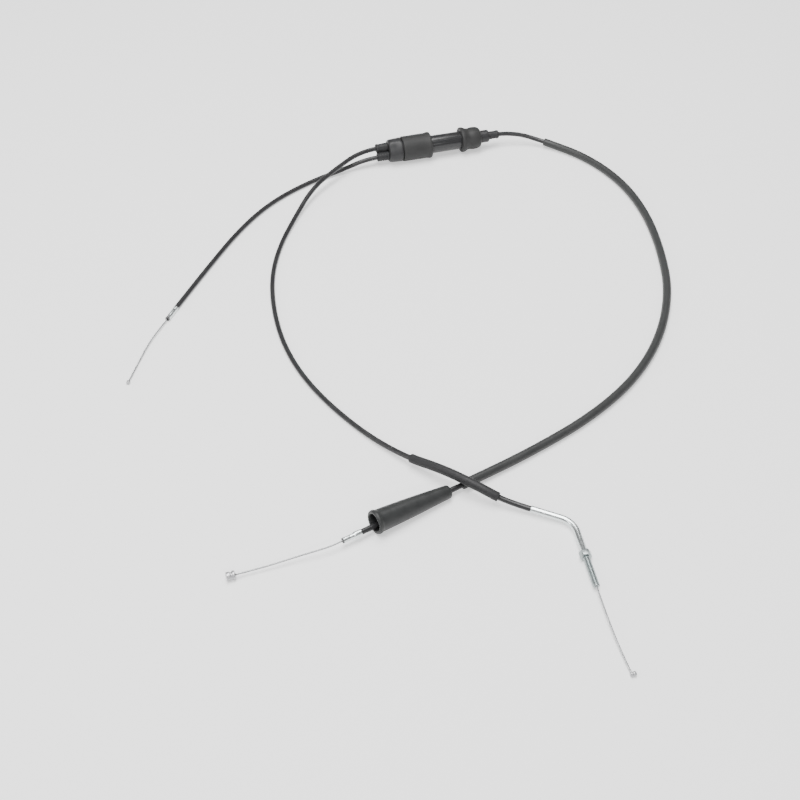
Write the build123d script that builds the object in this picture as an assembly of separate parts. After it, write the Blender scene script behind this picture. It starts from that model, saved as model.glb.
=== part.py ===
from build123d import *
import math
import os

# A throttle cable set for a two-stroke motorcycle: one cable from the twist grip enters a
# splitter, and two leave it, one for the carburettor and one for the oil pump.
# Millimetres. X runs along the splitter towards the throttle cable, Z is up, and the origin
# is the middle of the splitter's length, on the surface that everything lies on.

# ---- fits
NEST_GAP = 0.05          # between one layer of a cable and the next
SLIP_GAP = 0.05          # between parts that are pushed together by hand
WIRE_GAP = 0.10          # running clearance round the moving wire
SLIDER_GAP = 0.08        # running clearance round the slider
HOLE_GAP = 0.30          # a drilled hole round a wire that only passes through
END_GAP = 0.5            # between the fixed wire and the moving wire, end to end

# ---- the cable, from the middle outwards
WIRE_R = 0.75
LINER_WALL = 0.30
CONDUIT_WALL = 0.75
JACKET_WALL = 0.50
LINER_BORE_R = WIRE_R + WIRE_GAP
LINER_R = LINER_BORE_R + LINER_WALL
CONDUIT_BORE_R = LINER_R + NEST_GAP
CONDUIT_R = CONDUIT_BORE_R + CONDUIT_WALL
JACKET_BORE_R = CONDUIT_R + NEST_GAP
JACKET_R = JACKET_BORE_R + JACKET_WALL

TRAVEL = 20.0            # how far the throttle pulls the wires
STAY_IN = 5.0            # wire left inside a free end at the end of the travel
START_IN = 2.0           # wire left inside a cable's start in the splitter

# ---- splitter, stations along X, worked out from the two ends of its tube
BODY_FROM = -46.0
BODY_TO = 44.0
OUTLET_PITCH = 10.0      # between the two outlets
OUTLET_ROLL = 48.0       # degrees, the carburettor outlet above the horizontal

SLIDER_LENGTH = 16.0
SLIDER_WEB = 1.1         # slider left outside a branch pocket
GREASE_GROOVE_DEPTH = 0.5
GREASE_GROOVE_W = 3.0
SLIDER_NIPPLE_LENGTH = 5.0
MAIN_NIPPLE_R = 2.5
BRANCH_NIPPLE_R = 2.0
NIPPLE_GAP = 0.1
POCKET_DEPTH = 6.0
SLIDER_FROM = BODY_FROM + 10
SLIDER_R = OUTLET_PITCH / 2 + BRANCH_NIPPLE_R + NIPPLE_GAP + SLIDER_WEB - SLIDER_GAP

BODY_WALL = 1.8
BODY_BORE_R = SLIDER_R + SLIDER_GAP
BODY_R = BODY_BORE_R + BODY_WALL
CAP_SKIRT_WALL = 1.4
CAP_FACE = BODY_FROM - 13
CAP_FACE_R = BODY_R + 2.8
CAP_SHOULDER = BODY_FROM + 2.4
CAP_SHOULDER_R = BODY_R + 3.6
CAP_SKIRT_TO = BODY_FROM + 12
SLEEVE_R = BODY_R + 4.1
SLEEVE_FLANGE_R = BODY_R + 4.75
SLEEVE_FLANGE_W = 3.6
SLEEVE_TO = BODY_FROM + 36.6
AXIS_Z = SLEEVE_FLANGE_R  # the splitter rests on the flange of its sleeve

OUTLET_R = OUTLET_PITCH / 2 - 0.3
OUTLET_ROOT = 2.0
OUTLET_TIP = CAP_FACE - 13.5
RIB_PITCH = 2.7
RIB_COUNT = 4            # on the oil pump outlet
SMOOTH_RIBS = 1          # on the carburettor outlet
RIB_DEPTH = 0.7
OUTLET_ROOT_R = OUTLET_R - RIB_DEPTH

INLET_SPIGOT_FROM = BODY_TO - 10
INLET_FERRULE_FROM = BODY_TO - 2
INLET_FLANGE_TO = BODY_TO + 4
INLET_BOSS_TO = BODY_TO + 16
INLET_BOSS_R = 6.75
INLET_SEAL_TIP = INLET_BOSS_TO + 12.5
INLET_SEAL_R = 4.65
INLET_SEAL_ROOT_R = 3.7
INLET_SEAL_ROOT = 3.0
COLLAR_FROM = BODY_TO - 17.7
COLLAR_END_WALL = 1.5
COLLAR_LIP_R = BODY_R + 3.8
COLLAR_WAIST_R = BODY_R + 1.2
COLLAR_BULGE_R = BODY_R + 1.8

FERRULE_WALL = 0.65      # inner ferrules, one on each cable end in the splitter
FERRULE_LENGTH = 10.0
FERRULE_END_WALL = 2.0
CAP_FERRULE_DEPTH = FERRULE_LENGTH + 0.3

# ---- sleeves on the cables
SHEATH_GAP = 0.3
SHEATH_WALL = 1.45
SHEATH_FROM = 82.0       # from the start of the throttle cable
SHEATH_END_GAP = 14.0    # from the boot's small end
CARB_SLEEVE_WALL = 1.35
CARB_SLEEVE_LENGTH = 90.0
CARB_SLEEVE_END = 29.0   # from the elbow

# ---- throttle end
THROTTLE_FERRULE_LENGTH = 18.0
THROTTLE_FERRULE_NOSE = 10.5
THROTTLE_FERRULE_NOSE_R = 2.35
THROTTLE_FERRULE_WALL = 0.40
THROTTLE_NIPPLE_R = 3.8
THROTTLE_NIPPLE_LENGTH = 7.4
THROTTLE_NIPPLE_BACK = 3.2
THROTTLE_NIPPLE_RIM = 1.6
THROTTLE_NIPPLE_WAIST_R = 3.0

BOOT_LENGTH = 76.0
BOOT_TAIL = 106.5        # from the boot's small end to the ferrule's tip
BOOT_SMALL_R = 6.0
BOOT_BODY_R = 9.9
BOOT_WAIST = 42.0        # where the boot is already most of its full width
BOOT_WAIST_R = 8.7
BOOT_RIM_R = 10.75
BOOT_RIM_W = 4.0
BOOT_MOUTH_R = 7.5
BOOT_THROAT_R = 4.6
BOOT_GRIP = 14.0         # length of the small end that grips the cable
BOOT_RIM_CLEAR = 0.2     # the mouth's rim above the surface

# ---- pump end
PUMP_FERRULE_LENGTH = 20.0
PUMP_FERRULE_END_WALL = 2.0
PUMP_FERRULE_WALL = 0.30
PUMP_NIPPLE_R = 1.6
PUMP_NIPPLE_LENGTH = 3.4

# ---- carburettor end
ELBOW_R = 3.0
ELBOW_BEND_R = 20.0      # along the middle of the tube
ELBOW_BORE_R = WIRE_R + 0.35
ELBOW_SOCKET = 14.0      # how far the conduit reaches into the elbow
ELBOW_FACE_GAP = 0.1
THREAD_R = 2.95          # M6 x 1, over the crests
THREAD_LENGTH = 31.0
HEX_AF = 9.0
HEX_LENGTH = 6.5
BEAD_R = 3.6
BEAD_W = 1.4
BEAD_BACK = 2.7          # from the bead's middle to the hex's front face
FITTING_WEB = 2.0        # solid hex in front of the elbow's end
CARB_NIPPLE_R = 2.0
CARB_NIPPLE_LENGTH = 4.6
CARB_NIPPLE_ASIDE = 1.0  # its middle to the side of the wire

# ---- where the cables lie
OUTLET_Y = OUTLET_PITCH / 2 * math.cos(math.radians(OUTLET_ROLL))
OUTLET_Z = OUTLET_PITCH / 2 * math.sin(math.radians(OUTLET_ROLL))
CARB_OUTLET = (OUTLET_Y, AXIS_Z + OUTLET_Z)
PUMP_OUTLET = (-OUTLET_Y, AXIS_Z - OUTLET_Z)
MAIN_START_X = INLET_FERRULE_FROM + FERRULE_END_WALL
BRANCH_START_X = BODY_FROM - FERRULE_END_WALL
LIE = JACKET_R + 0.1                              # middle of a bare cable on the surface
SHEATH_LIE = JACKET_R + SHEATH_GAP + SHEATH_WALL + 0.05
SLEEVE_LIE = JACKET_R + SHEATH_GAP + CARB_SLEEVE_WALL
OVER = 2 * SHEATH_LIE + SLEEVE_LIE + 2            # where the sleeve crosses the sheath

MAIN_ROUTE = [
    (MAIN_START_X, 0, AXIS_Z),
    (INLET_SEAL_TIP + 17.5, 0, AXIS_Z),
    (126, -19, 5.5),
    (160, -62, SHEATH_LIE),
    (178, -121, SHEATH_LIE),
    (178, -184, SHEATH_LIE),
    (166, -247, SHEATH_LIE),
    (146, -312, SHEATH_LIE),
    (109, -376, SHEATH_LIE),
    (60, -428, SHEATH_LIE),
    (0, -466, SHEATH_LIE),
    (-67, -493, SHEATH_LIE),
    (-124, -512.2, 5.7),
    (-255, -552, 7.5),
]
CARB_ROUTE = [
    (BRANCH_START_X, *CARB_OUTLET),
    (OUTLET_TIP - 16.5, *CARB_OUTLET),
    (-124, -18, 14.5),
    (-158, -46, 12.5),
    (-187, -84, 4),
    (-214, -129, LIE),
    (-234, -181, LIE),
    (-244, -243, LIE),
    (-244, -302, LIE),
    (-232, -360, LIE),
    (-206, -422, LIE),
    (-179, -468, 6),
    (-152, -503, OVER),
    (-129, -532, OVER),
    (-110.9, -546.3, 6.9),
]
PUMP_ROUTE = [
    (BRANCH_START_X, *PUMP_OUTLET),
    (OUTLET_TIP - 12.5, *PUMP_OUTLET),
    (-112, -6, 4.2),
    (-157, -19, LIE),
    (-205, -46, LIE),
    (-247, -86, LIE),
    (-291, -142, LIE),
    (-346, -216, LIE),
]
# the carburettor cable's own last point is the bottom of the socket in the elbow
ELBOW_ROUTE = [
    (-93, -560, 6),
    (-63.2, -582.8, 4.5),
    (-71.5, -653.8, 4.5),
]
THROTTLE_WIRE_ROUTE = [
    (-255, -552, 7.5),
    (-268, -555.9, 7.7),
    (-294, -556.5, 5.5),
    (-322, -559, 3.9),
    (-354, -560.5, 3.9),
]
CARB_WIRE_ROUTE = [
    (-71.5, -653.8, 4.5),
    (-75.9, -691.5, 4.5),
    (-77.3, -718, 2.5),
    (-77.6, -740, 2.1),
]
PUMP_WIRE_ROUTE = [
    (-346, -216, 2.6),
    (-367.5, -244.9, 2.6),
    (-382, -271.5, 1.7),
    (-396.8, -299.6, 1.7),
]


def straight(start, end):
    """The direction from one point to another."""
    return (Vector(*end) - Vector(*start)).normalized()


def cord_path(name, route, bend=None):
    """The route with every corner rounded, to the given bend or as far as its two runs allow."""
    points = [Vector(*point) for point in route]
    runs = [(b - a).length for a, b in zip(points, points[1:])]
    radii = []
    for i in range(1, len(points) - 1):
        turn = (points[i] - points[i - 1]).get_angle(points[i + 1] - points[i])
        radii.append(bend or 0.45 * min(runs[i - 1], runs[i]) / math.tan(math.radians(turn) / 2))
    path = FilletPolyline(*points, radius=radii)
    print(f"{name}: {path.length:.1f} mm, radii", [round(r) for r in radii])
    return path


def swept(path, outer, inner, start, end):
    """A round tube along a stretch of a path, or a rod where the inner radius is 0."""
    stretch = path.trim(start / path.length, end / path.length)
    section = Circle(outer) - Circle(inner) if inner else Circle(outer)
    tube = sweep(Plane(origin=stretch @ 0, z_dir=stretch % 0) * section, path=stretch)
    expected = math.pi * (outer**2 - inner**2) * (end - start)
    if abs(tube.volume / expected - 1) > 0.005:
        print(f"  volume {tube.volume:.1f}, section times length {expected:.1f}")
    return tube


def turned(outline):
    """A turned solid about local Z from a closed outline of (z, r) points."""
    face = make_face(Polyline(*[(r, z) for z, r in outline], close=True))
    return revolve(Plane.XZ * face, axis=Axis.Z)


def rod(radius, start, end):
    """A plain cylinder along local Z."""
    return Pos(0, 0, start) * Cylinder(radius, end - start, align=(Align.CENTER, Align.CENTER, Align.MIN))


def along_x(y, z):
    """A frame whose local Z is the part's X, at the given height and side."""
    return Plane(origin=(0, y, z), x_dir=(0, 1, 0), z_dir=(1, 0, 0))


def end_frame(route):
    """A frame on the last point of a route, local Z pointing on out of the end."""
    return Plane(origin=route[-1], z_dir=straight(route[-2], route[-1]))


def back_from(route, distance):
    """The point that lies a distance back from the end of a route's last run."""
    return Vector(*route[-1]) - straight(route[-2], route[-1]) * distance


ON_AXIS = along_x(0, AXIS_Z)
CARB_AXIS = along_x(*CARB_OUTLET)
PUMP_AXIS = along_x(*PUMP_OUTLET)
FERRULE_R = JACKET_R + NEST_GAP + FERRULE_WALL
JACKET_HOLE_R = JACKET_R + SLIP_GAP
WIRE_HOLE_R = WIRE_R + HOLE_GAP


# ---- splitter
def splitter_body():
    """The plain tube that the slider runs in."""
    return ON_AXIS * (rod(BODY_R, BODY_FROM, BODY_TO) - rod(BODY_BORE_R, BODY_FROM, BODY_TO))


def outlet_cap():
    """The end cap that holds the two branch cables, its skirt pushed over the tube."""
    skirt_r = BODY_R + SLIP_GAP + CAP_SKIRT_WALL
    cap = ON_AXIS * turned([
        (CAP_FACE, 0),
        (CAP_FACE, CAP_FACE_R - 1),
        (CAP_FACE + 1, CAP_FACE_R),
        (CAP_SHOULDER, CAP_SHOULDER_R),
        (CAP_SHOULDER, skirt_r),
        (CAP_SKIRT_TO, skirt_r),
        (CAP_SKIRT_TO, BODY_R + SLIP_GAP),
        (BODY_FROM, BODY_R + SLIP_GAP),
        (BODY_FROM, 0),
    ])
    for axis in (CARB_AXIS, PUMP_AXIS):
        cap -= axis * rod(FERRULE_R + SLIP_GAP, BODY_FROM - CAP_FERRULE_DEPTH, BODY_FROM)
        cap -= axis * rod(JACKET_HOLE_R, CAP_FACE, BODY_FROM)
        cap -= axis * rod(OUTLET_ROOT_R + SLIP_GAP, CAP_FACE, CAP_FACE + OUTLET_ROOT)
    return cap


def outlet_seal(axis, ribs):
    """A rubber nozzle round a branch cable, its root in the cap's face."""
    outline = [(CAP_FACE + OUTLET_ROOT, JACKET_HOLE_R), (CAP_FACE + OUTLET_ROOT, OUTLET_ROOT_R)]
    outline += [(CAP_FACE, OUTLET_ROOT_R), (CAP_FACE, OUTLET_R)]
    for i in range(ribs):
        crest = CAP_FACE - 1.2 - i * RIB_PITCH
        outline += [(crest, OUTLET_R), (crest - RIB_PITCH / 2, OUTLET_R - RIB_DEPTH)]
    outline += [(OUTLET_TIP + 2, OUTLET_R - RIB_DEPTH), (OUTLET_TIP + 1.6, OUTLET_R)]
    outline += [(OUTLET_TIP + 0.6, OUTLET_R), (OUTLET_TIP, OUTLET_R - 0.6)]
    outline += [(OUTLET_TIP, JACKET_HOLE_R)]
    return axis * turned(outline)


def splitter_sleeve():
    """The rubber sleeve over the joint of cap and tube, with a flange at its open end."""
    skirt_r = BODY_R + SLIP_GAP + CAP_SKIRT_WALL
    flange_from = SLEEVE_TO - SLEEVE_FLANGE_W
    return ON_AXIS * turned([
        (CAP_SHOULDER + SLIP_GAP, skirt_r + SLIP_GAP),
        (CAP_SHOULDER + SLIP_GAP, SLEEVE_R - 0.8),
        (CAP_SHOULDER + 1, SLEEVE_R),
        (flange_from, SLEEVE_R),
        (flange_from + 1.4, SLEEVE_FLANGE_R),
        (SLEEVE_TO - 0.5, SLEEVE_FLANGE_R),
        (SLEEVE_TO, SLEEVE_FLANGE_R - 0.6),
        (SLEEVE_TO, BODY_R + SLIP_GAP),
        (CAP_SKIRT_TO + SLIP_GAP, BODY_R + SLIP_GAP),
        (CAP_SKIRT_TO + SLIP_GAP, skirt_r + SLIP_GAP),
    ])


def inlet_cap():
    """The plug at the throttle end of the tube: spigot, flange and boss."""
    plug = ON_AXIS * turned([
        (INLET_SPIGOT_FROM, WIRE_HOLE_R),
        (INLET_SPIGOT_FROM, BODY_BORE_R - SLIP_GAP),
        (BODY_TO, BODY_BORE_R - SLIP_GAP),
        (BODY_TO, BODY_R),
        (INLET_FLANGE_TO, BODY_R),
        (INLET_FLANGE_TO, INLET_BOSS_R),
        (INLET_BOSS_TO - 0.6, INLET_BOSS_R),
        (INLET_BOSS_TO, INLET_BOSS_R - 0.6),
        (INLET_BOSS_TO, WIRE_HOLE_R),
    ])
    bore_to = INLET_FERRULE_FROM + CAP_FERRULE_DEPTH
    plug -= ON_AXIS * rod(FERRULE_R + SLIP_GAP, INLET_FERRULE_FROM, bore_to)
    plug -= ON_AXIS * rod(JACKET_HOLE_R, bore_to, INLET_BOSS_TO)
    return plug - ON_AXIS * rod(INLET_SEAL_ROOT_R + SLIP_GAP, INLET_BOSS_TO - INLET_SEAL_ROOT, INLET_BOSS_TO)


def inlet_seal():
    """The rubber nose round the throttle cable, its root in the boss."""
    return ON_AXIS * turned([
        (INLET_BOSS_TO - INLET_SEAL_ROOT, JACKET_HOLE_R),
        (INLET_BOSS_TO - INLET_SEAL_ROOT, INLET_SEAL_ROOT_R),
        (INLET_BOSS_TO, INLET_SEAL_ROOT_R),
        (INLET_BOSS_TO, INLET_SEAL_R),
        (INLET_SEAL_TIP - 0.8, INLET_SEAL_R),
        (INLET_SEAL_TIP, INLET_SEAL_R - 0.8),
        (INLET_SEAL_TIP, JACKET_HOLE_R),
    ])


def inlet_collar():
    """The rubber collar over the joint of tube and plug: a lip, a waist and a bulge."""
    end = INLET_FLANGE_TO + SLIP_GAP + COLLAR_END_WALL
    return ON_AXIS * turned([
        (COLLAR_FROM, BODY_R + SLIP_GAP),
        (COLLAR_FROM, COLLAR_LIP_R - 0.5),
        (COLLAR_FROM + 1, COLLAR_LIP_R),
        (COLLAR_FROM + 3, COLLAR_LIP_R - 0.6),
        (COLLAR_FROM + 7, COLLAR_WAIST_R),
        (COLLAR_FROM + 11, COLLAR_WAIST_R),
        (COLLAR_FROM + 15, COLLAR_BULGE_R),
        (COLLAR_FROM + 19, COLLAR_BULGE_R - 0.4),
        (end, BODY_R - 0.8),
        (end, INLET_BOSS_R + SLIP_GAP),
        (end - COLLAR_END_WALL, INLET_BOSS_R + SLIP_GAP),
        (end - COLLAR_END_WALL, BODY_R + SLIP_GAP),
    ])


def inner_ferrule(axis, closed_end, outward):
    """A metal cup on a cable end; outward is +1 or -1 along X, away from the slider."""
    cup = turned([
        (0, WIRE_HOLE_R),
        (0, FERRULE_R - 0.4),
        (0.4, FERRULE_R),
        (FERRULE_LENGTH, FERRULE_R),
        (FERRULE_LENGTH, JACKET_R + NEST_GAP),
        (FERRULE_END_WALL, JACKET_R + NEST_GAP),
        (FERRULE_END_WALL, WIRE_HOLE_R),
    ])
    origin = axis.origin + Vector(closed_end, 0, 0)
    return Plane(origin=origin, x_dir=(0, 1, 0), z_dir=(outward, 0, 0)) * cup


# ---- slider
def slider():
    """The piston that pulls both branch wires when the throttle wire pulls it."""
    end = SLIDER_FROM + SLIDER_LENGTH
    middle = SLIDER_FROM + SLIDER_LENGTH / 2
    piston = rod(SLIDER_R, SLIDER_FROM, end)
    piston -= (
        rod(SLIDER_R + 1, middle - GREASE_GROOVE_W / 2, middle + GREASE_GROOVE_W / 2)
        - rod(SLIDER_R - GREASE_GROOVE_DEPTH, SLIDER_FROM, end)
    )
    piston -= rod(MAIN_NIPPLE_R + NIPPLE_GAP, SLIDER_FROM, SLIDER_FROM + POCKET_DEPTH)
    piston -= rod(WIRE_HOLE_R, SLIDER_FROM, end)
    piston = ON_AXIS * piston
    for axis in (CARB_AXIS, PUMP_AXIS):
        piston -= axis * rod(BRANCH_NIPPLE_R + NIPPLE_GAP, end - POCKET_DEPTH, end)
        piston -= axis * rod(WIRE_HOLE_R, SLIDER_FROM, end)
    return piston


def slider_nipple(axis, radius, start):
    """A soldered nipple seated on the bottom of its pocket."""
    end = start + SLIDER_NIPPLE_LENGTH
    return axis * (rod(radius, start, end) - rod(WIRE_R, start, end))


# ---- free ends
def throttle_ferrule():
    """The two-diameter end cap at the grip: crimped on the jacket, a plain nose in front."""
    step = -THROTTLE_FERRULE_NOSE
    rear_r = JACKET_R + NEST_GAP + THROTTLE_FERRULE_WALL
    return end_frame(MAIN_ROUTE) * turned([
        (-THROTTLE_FERRULE_LENGTH, JACKET_R + NEST_GAP),
        (-THROTTLE_FERRULE_LENGTH, rear_r),
        (step - 0.6, rear_r),
        (step, THROTTLE_FERRULE_NOSE_R),
        (-0.3, THROTTLE_FERRULE_NOSE_R),
        (0, THROTTLE_FERRULE_NOSE_R - 0.3),
        (0, LINER_R + NEST_GAP),
        (step - 0.6, LINER_R + NEST_GAP),
        (step - 0.6, JACKET_R + NEST_GAP),
    ])


def throttle_boot():
    """The rubber boot that slides along the cable over the adjuster at the grip."""
    cable = straight(MAIN_ROUTE[-2], MAIN_ROUTE[-1])
    small_end = back_from(MAIN_ROUTE, BOOT_TAIL)
    rim_from = BOOT_LENGTH - BOOT_RIM_W
    drop = math.asin((BOOT_RIM_CLEAR - small_end.Z) / math.hypot(rim_from, BOOT_RIM_R))
    tilt = math.atan2(BOOT_RIM_R, rim_from) + drop
    level = Vector(cable.X, cable.Y, 0).normalized() * math.cos(tilt)
    frame = Plane(origin=small_end, z_dir=level + Vector(0, 0, math.sin(tilt)))
    boot = frame * turned([
        (0, 0),
        (0, BOOT_SMALL_R - 0.6),
        (0.6, BOOT_SMALL_R),
        (BOOT_GRIP, BOOT_SMALL_R + 0.8),
        (BOOT_WAIST, BOOT_WAIST_R),
        (rim_from - 2, BOOT_BODY_R),
        (rim_from, BOOT_RIM_R),
        (BOOT_LENGTH - 0.8, BOOT_RIM_R),
        (BOOT_LENGTH, BOOT_RIM_R - 0.8),
        (BOOT_LENGTH, BOOT_MOUTH_R),
        (BOOT_GRIP, BOOT_THROAT_R),
        (BOOT_GRIP, 0),
    ])
    return boot - Plane(origin=small_end, z_dir=cable) * rod(JACKET_HOLE_R, -5, BOOT_GRIP + 5)


def pump_ferrule():
    """The straight end tube of the oil pump cable, the conduit pushed into it."""
    outer = CONDUIT_R + NEST_GAP + PUMP_FERRULE_WALL
    return end_frame(PUMP_ROUTE) * turned([
        (-PUMP_FERRULE_LENGTH, CONDUIT_R + NEST_GAP),
        (-PUMP_FERRULE_LENGTH, outer),
        (-0.4, outer),
        (0, outer - 0.4),
        (0, LINER_R + NEST_GAP),
        (-PUMP_FERRULE_END_WALL, LINER_R + NEST_GAP),
        (-PUMP_FERRULE_END_WALL, CONDUIT_R + NEST_GAP),
    ])


def hex_from():
    """The hex's back face, in the frame at the fitting's tip."""
    return -THREAD_LENGTH - HEX_LENGTH


def elbow_tube(path):
    """The bent steel tube, free to turn on the conduit, with a bead inside the hex."""
    tube_end = THREAD_LENGTH + FITTING_WEB + ELBOW_FACE_GAP
    tube = swept(path, ELBOW_R, ELBOW_BORE_R, ELBOW_FACE_GAP, path.length - tube_end)
    tip = end_frame(ELBOW_ROUTE)
    bead_middle = -THREAD_LENGTH - BEAD_BACK - FITTING_WEB / 2
    bead = turned([
        (bead_middle - BEAD_W / 2, ELBOW_R - 0.2),
        (bead_middle - BEAD_W / 2 + 0.4, BEAD_R),
        (bead_middle + BEAD_W / 2 - 0.4, BEAD_R),
        (bead_middle + BEAD_W / 2, ELBOW_R - 0.2),
    ])
    entry = Plane(origin=ELBOW_ROUTE[0], z_dir=straight(ELBOW_ROUTE[0], ELBOW_ROUTE[1]))
    socket = entry * rod(CONDUIT_R + NEST_GAP, 0, ELBOW_SOCKET + 0.2)
    return tube + tip * bead - socket


def elbow_fitting():
    """The hex with its M6 nozzle, which turns on the elbow so that it can be screwed in."""
    tip = end_frame(ELBOW_ROUTE)
    frame = Plane(origin=tip.origin, x_dir=tip.z_dir.cross(Vector(0, 0, 1)), z_dir=tip.z_dir)
    back = hex_from()
    corner_r = HEX_AF / math.sqrt(3)
    prism = Pos(0, 0, back) * extrude(RegularPolygon(HEX_AF / 2, 6, major_radius=False), HEX_LENGTH)
    chamfer = turned([
        (back, 0),
        (back, HEX_AF / 2 - 0.1),
        (back + 0.6, corner_r),
        (-THREAD_LENGTH - 0.6, corner_r),
        (-THREAD_LENGTH, HEX_AF / 2 - 0.1),
        (-THREAD_LENGTH, 0),
    ])
    fitting = prism & chamfer
    fitting += turned([
        (-THREAD_LENGTH - 1, 0),
        (-THREAD_LENGTH - 1, THREAD_R),
        (-0.5, THREAD_R),
        (0, THREAD_R - 0.5),
        (0, 0),
    ])
    bead_middle = -THREAD_LENGTH - BEAD_BACK - FITTING_WEB / 2
    fitting -= rod(ELBOW_R + SLIP_GAP, back, -THREAD_LENGTH - FITTING_WEB)
    fitting -= rod(BEAD_R + SLIP_GAP, bead_middle - BEAD_W / 2 - 0.1, bead_middle + BEAD_W / 2 + 0.1)
    fitting -= rod(LINER_BORE_R, back, 0)
    return frame * fitting


def free_wire(name, route, cable_route, inside):
    """A moving wire: straight inside the cable's end, then its own path outside."""
    start = tuple(back_from(cable_route, inside))
    path = cord_path(name, [start] + route[1:])
    return swept(path, WIRE_R, 0, 0, path.length)


def end_nipple(route, outline):
    """A nipple cast on the end of a free wire, its back face on the wire's end."""
    length = -min(z for z, r in outline)
    return end_frame(route) * (turned(outline) - rod(WIRE_R, -length, 0))


def throttle_nipple():
    """A drum with a turned waist, seated in the twist grip."""
    waist_from = THROTTLE_NIPPLE_RIM - THROTTLE_NIPPLE_LENGTH
    return end_nipple(THROTTLE_WIRE_ROUTE, [
        (-THROTTLE_NIPPLE_LENGTH, 0),
        (-THROTTLE_NIPPLE_LENGTH, THROTTLE_NIPPLE_R - 0.5),
        (-THROTTLE_NIPPLE_LENGTH + 0.4, THROTTLE_NIPPLE_R),
        (waist_from, THROTTLE_NIPPLE_R),
        (waist_from + 0.4, THROTTLE_NIPPLE_WAIST_R),
        (-THROTTLE_NIPPLE_BACK - 0.4, THROTTLE_NIPPLE_WAIST_R),
        (-THROTTLE_NIPPLE_BACK, THROTTLE_NIPPLE_R),
        (0, THROTTLE_NIPPLE_R),
        (0, 0),
    ])


def pump_nipple():
    """A small drum with its front edge broken."""
    return end_nipple(PUMP_WIRE_ROUTE, [
        (-PUMP_NIPPLE_LENGTH, 0),
        (-PUMP_NIPPLE_LENGTH, PUMP_NIPPLE_R - 0.4),
        (-PUMP_NIPPLE_LENGTH + 0.4, PUMP_NIPPLE_R),
        (0, PUMP_NIPPLE_R),
        (0, 0),
    ])


def carb_nipple():
    """A small barrel across the wire, which ends on the barrel's axis."""
    wire = end_frame(CARB_WIRE_ROUTE)
    side = Vector(0, 0, 1).cross(wire.z_dir).normalized()
    half = CARB_NIPPLE_LENGTH / 2
    barrel = Plane(origin=wire.origin + side * CARB_NIPPLE_ASIDE, z_dir=side)
    return barrel * rod(CARB_NIPPLE_R, -half, half) - wire * rod(WIRE_R, -2 * CARB_NIPPLE_R, 0)


def cable(name, path, jacket, liner_to, core):
    """The four layers of one cable, each with its start and end along the path."""
    return {
        f"{name}_jacket": swept(path, JACKET_R, JACKET_BORE_R, 0, jacket),
        f"{name}_conduit": swept(path, CONDUIT_R, CONDUIT_BORE_R, 0, liner_to[0]),
        f"{name}_liner": swept(path, LINER_R, LINER_BORE_R, 0, liner_to[1]),
        f"{name}_core": swept(path, WIRE_R, 0, *core),
    }


def splitter():
    """Every part of the splitter but the slider."""
    return {
        "splitter_body": splitter_body(),
        "outlet_cap": outlet_cap(),
        "carb_outlet_seal": outlet_seal(CARB_AXIS, SMOOTH_RIBS),
        "pump_outlet_seal": outlet_seal(PUMP_AXIS, RIB_COUNT),
        "splitter_sleeve": splitter_sleeve(),
        "inlet_cap": inlet_cap(),
        "inlet_seal": inlet_seal(),
        "inlet_collar": inlet_collar(),
        "main_inner_ferrule": inner_ferrule(ON_AXIS, INLET_FERRULE_FROM, 1),
        "carb_inner_ferrule": inner_ferrule(CARB_AXIS, BODY_FROM, -1),
        "pump_inner_ferrule": inner_ferrule(PUMP_AXIS, BODY_FROM, -1),
    }


def slider_group():
    """The slider with the three wires that hang on it."""
    main_nipple = SLIDER_FROM + POCKET_DEPTH - SLIDER_NIPPLE_LENGTH
    branch_nipple = SLIDER_FROM + SLIDER_LENGTH - POCKET_DEPTH
    main_reach = MAIN_START_X + START_IN
    branch_reach = BRANCH_START_X - TRAVEL - START_IN
    parts = {
        "slider": slider(),
        "slider_main_nipple": slider_nipple(ON_AXIS, MAIN_NIPPLE_R, main_nipple),
        "main_slider_wire": ON_AXIS * rod(WIRE_R, main_nipple, main_reach),
    }
    for name, axis in (("carb", CARB_AXIS), ("pump", PUMP_AXIS)):
        wire = rod(WIRE_R, branch_reach, branch_nipple + SLIDER_NIPPLE_LENGTH)
        parts[f"slider_{name}_nipple"] = slider_nipple(axis, BRANCH_NIPPLE_R, branch_nipple)
        parts[f"{name}_slider_wire"] = axis * wire
    return parts


def throttle_cable():
    """The cable to the twist grip with its sheath, ferrule, boot, free wire and drum."""
    path = cord_path("throttle cable", MAIN_ROUTE)
    end = path.length
    seat = end - THROTTLE_FERRULE_NOSE - 0.6 - NEST_GAP
    inside = TRAVEL + STAY_IN
    core = (START_IN + TRAVEL + END_GAP, end - inside - END_GAP)
    sheath_r = JACKET_R + SHEATH_GAP
    sheath_end = end - BOOT_TAIL - SHEATH_END_GAP
    return cable("main", path, seat, (seat, end - 0.5), core) | {
        "main_sheath": swept(path, sheath_r + SHEATH_WALL, sheath_r, SHEATH_FROM, sheath_end),
        "throttle_ferrule": throttle_ferrule(),
        "throttle_boot": throttle_boot(),
        "throttle_wire": free_wire("throttle wire", THROTTLE_WIRE_ROUTE, MAIN_ROUTE, inside),
        "throttle_nipple": throttle_nipple(),
    }


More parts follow.
